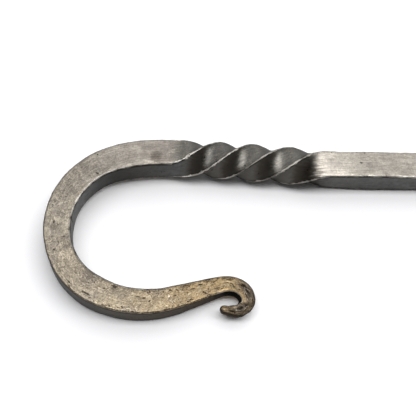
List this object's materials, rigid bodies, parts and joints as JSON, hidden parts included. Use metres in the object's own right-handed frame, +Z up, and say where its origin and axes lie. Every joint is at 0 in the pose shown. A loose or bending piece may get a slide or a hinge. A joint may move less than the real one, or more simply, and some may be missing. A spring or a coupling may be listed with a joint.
{
  "type": "forged s hook",
  "caption": "Hand-forged square-bar S hook with a twisted shank, an open hook at each end and small curled tips, for hanging pots or tools from a rail.",
  "frame": {"origin": "middle of the outline seen from above, on the surface that the hook lies on", "axes": "+X along the shank from the hook beside the twist to the far hook, +Z up from the surface, +Y towards the side on which the far hook opens"},
  "size_m": [0.18, 0.094, 0.0119],
  "materials": {
    "forged_steel": "bare forged steel, dull, with pits, worn bright edges and a thin golden-brown oxide on one end"
  },
  "bodies": {
    "root": {"forged_hook": "forged_steel"}
  },
  "joints": []
}
